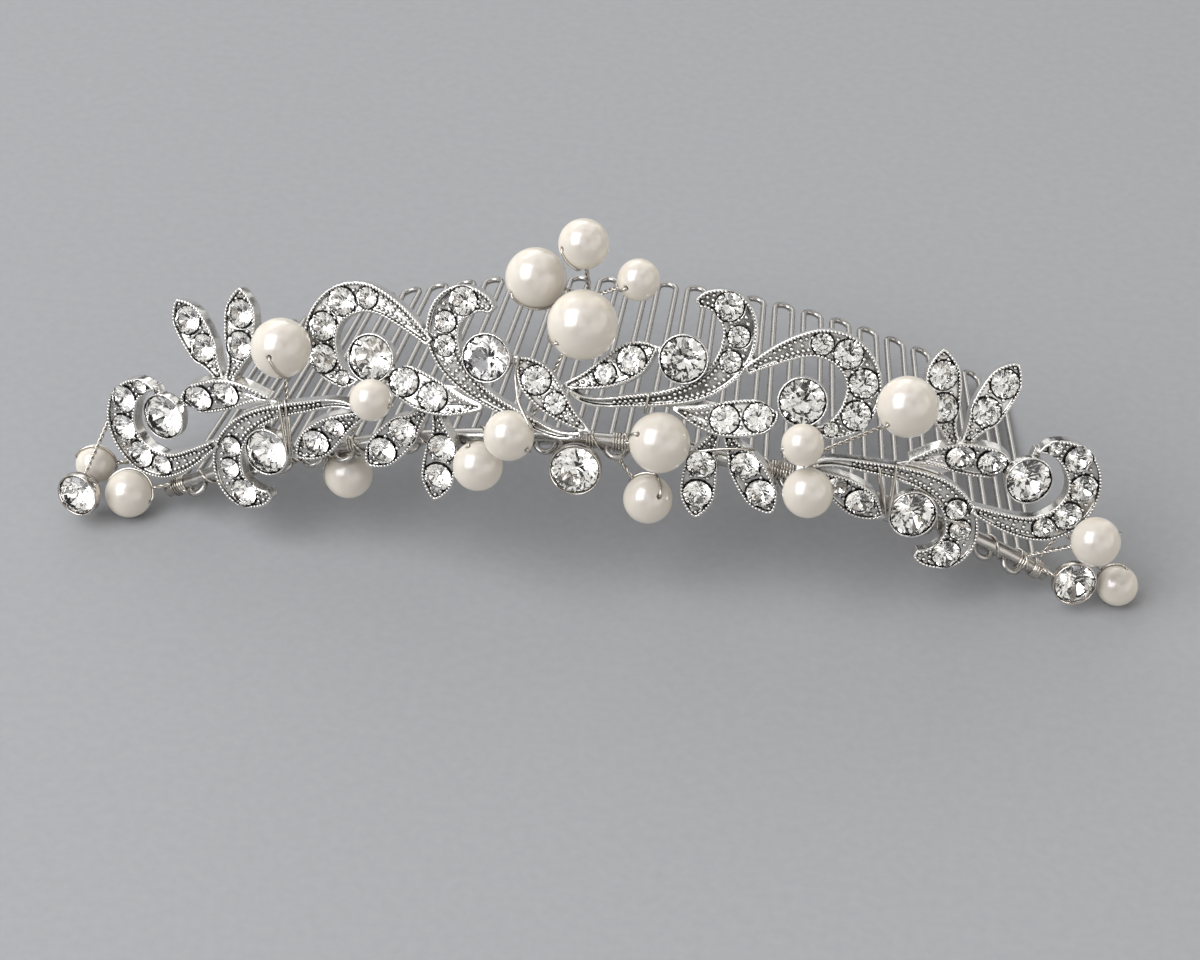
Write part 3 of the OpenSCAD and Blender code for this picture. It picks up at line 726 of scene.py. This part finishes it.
for name, cup in LOOSE_CUPS.items():
    # The profile goes up inside, over the rounded mouth, and down outside to the narrower back
    bore = cup[3] / 2 + STONE_GAP
    outer = bore + CUP_WALL
    ledge = PAVILION * (1 - BACK_HOLE_SHARE) * cup[3] + LEDGE_DROP
    bottom, mouth = -GIRDLE_IN_CUP, 0.2
    hole = BACK_HOLE_SHARE / 2 * cup[3]
    shoulder = -ledge - CUP_WALL
    foot = outer * BACK_HOLE_SHARE
    profile = [
        (hole, bottom), (hole, -ledge), (bore, -ledge), (bore, 0.06), (bore + CUP_EDGE, mouth - 0.02),
        (bore + 0.1, mouth), (outer - CUP_EDGE, mouth - 0.02), (outer, 0.06), (outer, shoulder + 0.1),
        (outer - CUP_EDGE, shoulder), (foot, bottom + 0.05), (foot - 0.06, bottom), (hole, bottom)]
    points, faces = lathe(profile)
    band = on_band(*cup[:3])
    ring = ([tuple(band @ Vector(p)) for p in points], faces)
    toward = cup[5] or [cup[4], 0]
    way = Vector((toward[0] - cup[0], toward[1] - cup[1])).normalized() * (foot - 0.1) / HUNDREDTH
    wall = AT_REST @ placed(cup[0] + way.x, cup[1] + way.y, cup[2] - (GIRDLE_IN_CUP - 0.45) / HUNDREDTH)
    route = [wire_foot(cup)]
    if cup[5]:
        route.append(AT_REST @ placed(*cup[5]))
    route.append(wall)
    parts = [ring, twisted_pair(route), spine_coil(cup[4] * HUNDREDTH)]
    holder = make_piece("stamped_cup_" + name, *join(parts), [wire_silver])
    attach(holder, "root")
    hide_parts("cup_" + name)

    stone = cut_stones("round_stone_" + name, [(band, cup[3])])
    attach(stone, "root")
    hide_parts("stone_" + name)

# The pearls. Glass beads of four sizes, dipped in many coats of pearl essence and drilled right
# through. Each is threaded on a thin wire whose two ends hug the bead and are twisted below it.

# Along, up, out, diameter in mm, wire's foot, bend of the wire, and the way one drill hole faces in
# the picture: to the right, up and towards the viewer. A last column, where there is one, is a place
# on the bead that the wire passes on its way from that hole to the stem
PEARLS = [
    [-5.1, 43, 11.4, 7.8, -23, [-5.7, 45.7, -8.6], (-0.72, -0.55, 0.42)],
    [-19.6, 53.5, -1.4, 6.8, -23, [-5.7, 45.7, -8.6], (-0.78, -0.55, 0.3), (0.05, -0.98, 0.2)],
    [-6.3, 67.2, 4.3, 5.6, -23, [-5.7, 45.7, -8.6], (-0.85, -0.25, 0.46), (-0.3, -0.93, 0.2)],
    [8.4, 57.1, 4.3, 4.7, -23, [-5.7, 45.7, -8.6], (-0.6, -0.45, 0.66)],
    [-90.1, 40.3, 14.9, 6.8, -105.7, [-100, 31.4, -8.6], (-0.3, -0.35, 0.88), (0.2, -0.97, 0.15)],
    [-65.3, 21.1, 20, 4.7, -82.9, [-68.6, 17.1, -8.6], (0.9, -0.3, 0.3)],
    [-88.9, -10.9, -5.7, 5.6, -94, [], (0.45, 0.8, 0.4)],
    [-36.4, -4.2, 14.9, 5.6, -31.4, [], (-0.38, 0.78, 0.5)],
    [-24.3, 9.2, 23.4, 5.6, -25.7, [], (0.72, -0.55, 0.42)],
    [19.6, 6.3, 10, 6.8, 8.6, [], (-0.74, 0.26, 0.62)],
    [18, -15.9, 2.9, 5.6, 5.7, [], (0.45, 0.1, 0.88), (0.28, 0.93, 0.25)],
    [60.3, 18.7, 20.6, 4.7, 57.1, [], (-0.95, -0.2, 0.2)],
    [66.2, 3.1, 19.1, 5.6, 60, [], (0.95, 0.1, 0.2)],
    [85.1, 39.1, 17.1, 6.8, 62.9, [88.6, 24.3, -8.6], (-0.68, -0.6, 0.42)],
    [155.3, 21.8, 13.4, 5.6, 145.7, [], (0.9, 0.3, 0.2)],
    [174.7, 0, 5.7, 4.7, 151.4, [154.3, 14.3, -7.1], (0.38, 0.85, 0.36)],
    [-174.7, 18.3, 0.6, 4.7, -151.4, [-154.3, 8.6, -8.6], (-0.9, 0.3, 0.2)],
    [-165.1, 0, 5.4, 5.6, -151.4, [], (0.9, -0.3, 0.2)]]
DRILL = 0.3
HOLE_EDGE = 0.03
# The picture's right, up and towards the viewer, in the frame
RIGHT = Vector((0.992, 0.127, 0)).normalized()
TOWARD = Vector((0.0964, -0.752, 0.652)).normalized()
UP = TOWARD.cross(RIGHT)


def in_picture(way):
    """A direction given to the picture's right, up and towards the viewer."""
    return (RIGHT * way[0] + UP * way[1] + TOWARD * way[2]).normalized()


# Pearl essence over glass: ivory lacquer with tiny scales in it, under a clear satin coat. The
# colour is painted greyer where the bead faces the eye, a painted reflection of the dim room, and creamier
# towards its edge, a painted sheen.
pearl_lacquer, tree = new_material("ivory_pearl_lacquer")
place = add(tree, "ShaderNodeTexCoord", {})
clouds = add(
    tree, "ShaderNodeTexNoise", {"Scale": 1 / (2.5 * MM), "Detail": 3.0},
    {"Vector": place.outputs["Object"]})
scales = add(
    tree, "ShaderNodeTexNoise", {"Scale": 1 / (0.15 * MM), "Detail": 2.0},
    {"Vector": place.outputs["Object"]})
facing = add(tree, "ShaderNodeLayerWeight", {"Blend": 0.55})
# Painted reflection and sheen: greyer where the bead faces the eye, creamier at its edge
painted_reflection_and_sheen = add(
    tree, "ShaderNodeMix", {"data_type": "RGBA", 6: linear("#B8B2AA"), 7: linear("#F8EFDE")},
    {0: facing.outputs["Facing"]})
cloud_share = add(
    tree, "ShaderNodeMapRange", {"To Min": 0.0, "To Max": 0.08}, {"Value": clouds.outputs["Fac"]})
tone = add(
    tree, "ShaderNodeMix", {"data_type": "RGBA", 7: linear("#A99C95")},
    {0: cloud_share.outputs[0], 6: painted_reflection_and_sheen.outputs[2]})
relief = add(
    tree, "ShaderNodeBump", {"Strength": 0.06, "Distance": 0.01 * MM}, {"Height": scales.outputs["Fac"]})
shader = add(
    tree, "ShaderNodeBsdfPrincipled",
    {"Roughness": 0.38, "IOR": 1.6, "Coat Weight": 1.0, "Coat Roughness": 0.15, "Coat IOR": 1.7,
     "Subsurface Weight": 0.35, "Subsurface Radius": (1.0, 0.8, 0.6), "Subsurface Scale": 1.5 * MM},
    {"Base Color": tone.outputs[2], "Normal": relief.outputs[0]})
add(tree, "ShaderNodeOutputMaterial", {}, {"Surface": shader.outputs[0]})


def pearl_profile(radius):
    """Half the outline of a drilled bead, from inside one end of its hole to inside the other."""
    rim = math.asin((DRILL + 3 * HOLE_EDGE) / radius)
    top = radius * math.cos(rim)
    outline = [(DRILL, radius * 0.6), (DRILL, top - 0.1), (DRILL + HOLE_EDGE, top - HOLE_EDGE)]
    angles = np.linspace(rim, math.pi - rim, 40)
    outline += [(radius * math.sin(a), radius * math.cos(a)) for a in angles]
    outline += [(r, -h) for r, h in outline[2::-1]]
    outline.append(outline[0])
    return outline[::-1]


centres = []
for number, bead in enumerate(PEARLS, 1):
    low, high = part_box("pearl_%d" % number)
    centre = (low + high) / 2 / MM
    centres.append(centre)
    hole = in_picture(bead[6])
    turned = hole.to_track_quat("Z", "Y").to_matrix().to_4x4()
    points, faces = lathe(pearl_profile(bead[3] / 2), 56)
    points = [tuple(centre + turned @ Vector(p)) for p in points]
    pearl = make_piece("ivory_pearl_%d" % number, points, faces, [pearl_lacquer])
    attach(pearl, "root")
    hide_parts("pearl_%d" % number)

# The pearl wires. Soft brass wire, silver plated. Its two ends come out of the bead, hug it, and are
# twisted together behind the castings down to the spine, where they are wound round it.
WIRE_GROUPS = {
    "wires_top": range(0, 4), "wires_left": range(4, 7), "wires_middle": range(7, 11),
    "wires_right": range(11, 14), "wires_right_end": range(14, 16), "wires_left_end": range(16, 18)}


def hugging(centre, radius, stops):
    """A wire out of a bead's hole and over its surface, from stop to stop; the last is the stem's start."""
    path = [centre + stops[0] * (radius - 0.5), centre + stops[0] * radius * 0.985]
    for start, end in zip(stops, stops[1:]):
        turn = start.angle(end)
        steps = max(int(turn * radius / 0.3), 3)
        for step in range(1, steps + 1):
            t = step / steps
            along = (start * math.sin((1 - t) * turn) + end * math.sin(t * turn)) / math.sin(turn)
            path.append(centre + along * (radius + STRAND / 2 + 0.02))
    return tube(path, STRAND / 2, 6)


for group, numbers in WIRE_GROUPS.items():
    parts = []
    for i in numbers:
        bead, centre = PEARLS[i], centres[i]
        up_out = AT_REST.inverted() @ centre
        own = list(bead[:6])
        if not bead[5]:
            # A straight stem leaves the spine towards the bead itself
            back_turned = Matrix.Rotation(-math.atan2(up_out.x, up_out.z + ARCH_RADIUS), 4, "Y")
            flat = back_turned @ (up_out + Vector((0, 0, ARCH_RADIUS)))
            radial = flat.z - ARCH_RADIUS
            up = (radial * math.cos(BAND_LEAN) + flat.y * math.sin(BAND_LEAN)) / HUNDREDTH
            out = (radial * math.sin(BAND_LEAN) - flat.y * math.cos(BAND_LEAN)) / HUNDREDTH
            own.append((up, out))
        foot = wire_foot(own)
        start = AT_REST @ placed(*bead[5]) if bead[5] else foot
        stem = (start - centre).normalized()
        radius = bead[3] / 2
        hole = in_picture(bead[6])
        route = [foot]
        if bead[5]:
            route.append(start)
        route.append(centre + stem * (radius + STRAND))
        parts.append(twisted_pair(route))
        passing = [in_picture(way) for way in bead[7:]]
        parts.append(hugging(centre, radius, [hole] + passing + [stem]))
        parts.append(hugging(centre, radius, [-hole, stem]))
        parts.append(spine_coil(bead[4] * HUNDREDTH))
    wires = make_piece("twisted_" + group, *join(parts), [wire_silver])
    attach(wires, "root")
    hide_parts(group)

# The tying wires. A single fine wire of silver-plated brass is passed over the front of a casting
# and pulled tight behind it. Each is given by the points in the picture, of 1200 by 960, that it
# passes over, lies on whatever the camera sees there, and runs back behind at a fixed depth.
TIES = [
    [(278, 399), (287, 456)], [(285, 398), (290, 456)], [(879, 466), (887, 518)], [(897, 466), (889, 518)],
    [(649, 394), (645, 413)], [(690, 452), (722, 449), (757, 449)],
    [(519, 357), (515, 374), (518, 402), (532, 431)], [(945, 519), (972, 528)]]
TIE_WIRE = 0.3
TIE_LIFT = 0.08
TIE_DEPTH = 2.6
TIE_STEPS = 12
SAME_LAYER = 4
MISSED = 0.6
# The camera: its roll, lens and sensor, what it looks at, and how far off it is
ROLL = math.radians(0.6)
LENS = 100
SENSOR = 36
VIEW_DISTANCE = 386.5
TARGET = Vector((-0.76, 7.23, 6.63)) + Vector((AT_REST.translation.x, AT_REST.translation.y, 0))
EYE = TARGET + TOWARD * VIEW_DISTANCE


def sight(x, y):
    """The direction from the eye through a point of the picture."""
    across, down = x - 600, y - 480
    sideways = across * math.cos(ROLL) + down * math.sin(ROLL)
    downward = down * math.cos(ROLL) - across * math.sin(ROLL)
    return (RIGHT * sideways - UP * downward - TOWARD * (1200 * LENS / SENSOR)).normalized()


def taut(heights):
    """Heights pulled up to a line that bridges every hollow between its ends."""
    top = [0]
    for i in range(1, len(heights)):
        while len(top) > 1:
            a, b = top[-2], top[-1]
            if (heights[b] - heights[a]) * (i - a) > (heights[i] - heights[a]) * (b - a):
                break
            top.pop()
        top.append(i)
    return np.interp(range(len(heights)), top, [heights[i] for i in top])


ties = []
for corners in TIES:
    spots = []
    for (x0, y0), (x1, y1) in zip(corners, corners[1:]):
        spots += [(x0 + (x1 - x0) * t, y0 + (y1 - y0) * t) for t in np.linspace(0, 1, TIE_STEPS)[:-1]]
    spots.append(corners[-1])
    hits = [around.ray_cast(EYE, sight(x, y)) for x, y in spots]
    seen = [(i, hit[3]) for i, hit in enumerate(hits) if hit[0] is not None]
    nearest = min(away for _, away in seen)
    seen = [(i, away) for i, away in seen if away < nearest + SAME_LAYER]
    away = np.interp(range(len(spots)), [i for i, _ in seen], [a for _, a in seen])
    for i, (x, y) in enumerate(spots):
        if i not in [j for j, _ in seen]:
            away[i] += MISSED
    pulled = -taut(-away) - TIE_WIRE / 2 - TIE_LIFT
    path = [EYE + sight(x, y) * far for (x, y), far in zip(spots, pulled)]
    behind = [p - TOWARD * TIE_DEPTH for p in reversed(path)]
    ties.append(tube(resampled(path + behind[1:-1] + [path[0]], 0.2), TIE_WIRE / 2, 6))
tying = make_piece("tying_wires", *join(ties), [wire_silver])
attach(tying, "root")

# The floor. The comb lies on a plain sheet of pale grey card, matt and uncoated, so its fibres show
# as a faint mottle and it gives no reflection.
card, tree = new_material("pale_grey_card")
place = add(tree, "ShaderNodeTexCoord", {})
fibres = add(
    tree, "ShaderNodeTexNoise", {"Scale": 1 / (1.2 * MM), "Detail": 4.0},
    {"Vector": place.outputs["Object"]})
tone = add(
    tree, "ShaderNodeMix", {"data_type": "RGBA", 6: linear("#8E8F91"), 7: linear("#98999B")},
    {0: fibres.outputs["Fac"]})
shader = add(tree, "ShaderNodeBsdfPrincipled", {"Roughness": 0.9}, {"Base Color": tone.outputs[2]})
add(tree, "ShaderNodeOutputMaterial", {}, {"Surface": shader.outputs[0]})
reach = 3000
corners = [(-reach, -reach, 0), (reach, -reach, 0), (reach, reach, 0), (-reach, reach, 0)]
floor = make_piece("floor", corners, [(0, 1, 2, 3)], [card])

# The light. One tall window stands to the left of the camera, with a soft fill on the right, a wide
# window behind, and a room of bright and dark patches that makes the stones and the metal sparkle.
aim = AT_REST @ placed(0, 20, 0) * MM


def add_light(name, direction, distance, width, height, power, colour):
    """A flat lamp that faces the comb; its height runs up the picture."""
    lamp = bpy.data.lights.new(name, "AREA")
    lamp.shape = "RECTANGLE"
    lamp.size = width
    lamp.size_y = height
    lamp.energy = power
    lamp.color = linear(colour)[:3]
    holder = bpy.data.objects.new(name, lamp)
    bpy.context.scene.collection.objects.link(holder)
    back = (RIGHT * direction[0] + UP * direction[1] + TOWARD * direction[2]).normalized()
    side = UP.cross(back).normalized()
    upright = back.cross(side)
    turned = Matrix((side, upright, back)).transposed().to_4x4()
    holder.matrix_world = Matrix.Translation(aim + back * distance) @ turned
    return holder


add_light("window", (-0.6, 0.35, 0.73), 1.0, 0.75, 1.0, 11, "#FAFBFF")
add_light("fill", (0.8, 0.1, 0.5), 1.6, 1.8, 1.8, 4.5, "#FFF6EC")
add_light("back_window", (-0.2, 1.0, -0.25), 1.4, 1.2, 0.4, 2, "#F4F8FF")
world = bpy.data.worlds.new("dim_room")
bpy.context.scene.world = world
world.use_nodes = True
tree = world.node_tree
place = add(tree, "ShaderNodeTexCoord", {})
walls = add(
    tree, "ShaderNodeTexNoise", {"Scale": 2.2, "Detail": 1.0},
    {"Vector": place.outputs["Generated"]})
bright = add(
    tree, "ShaderNodeMapRange", {"From Min": 0.45, "From Max": 0.52, "To Min": 0.04, "To Max": 1.15},
    {"Value": walls.outputs["Fac"]})
tree.links.new(bright.outputs[0], tree.nodes["Background"].inputs["Strength"])
tree.nodes["Background"].inputs["Color"].default_value = linear("#F6F5F3")
bpy.context.scene.view_settings.view_transform = "Standard"

# The camera. A long lens looks down at the comb from a little to its right, with a slight roll. Its
# values stand with the tying wires, which are laid along its lines of sight.
camera_data = bpy.data.cameras.new("camera")
camera_data.sensor_width = SENSOR
camera_data.lens = LENS
camera = bpy.data.objects.new("camera", camera_data)
bpy.context.scene.collection.objects.link(camera)
right = RIGHT * math.cos(ROLL) + UP * math.sin(ROLL)
upward = UP * math.cos(ROLL) - RIGHT * math.sin(ROLL)
turned = Matrix((right, upward, TOWARD)).transposed().to_4x4()
camera.matrix_world = Matrix.Translation(EYE * MM) @ turned
bpy.context.scene.camera = camera
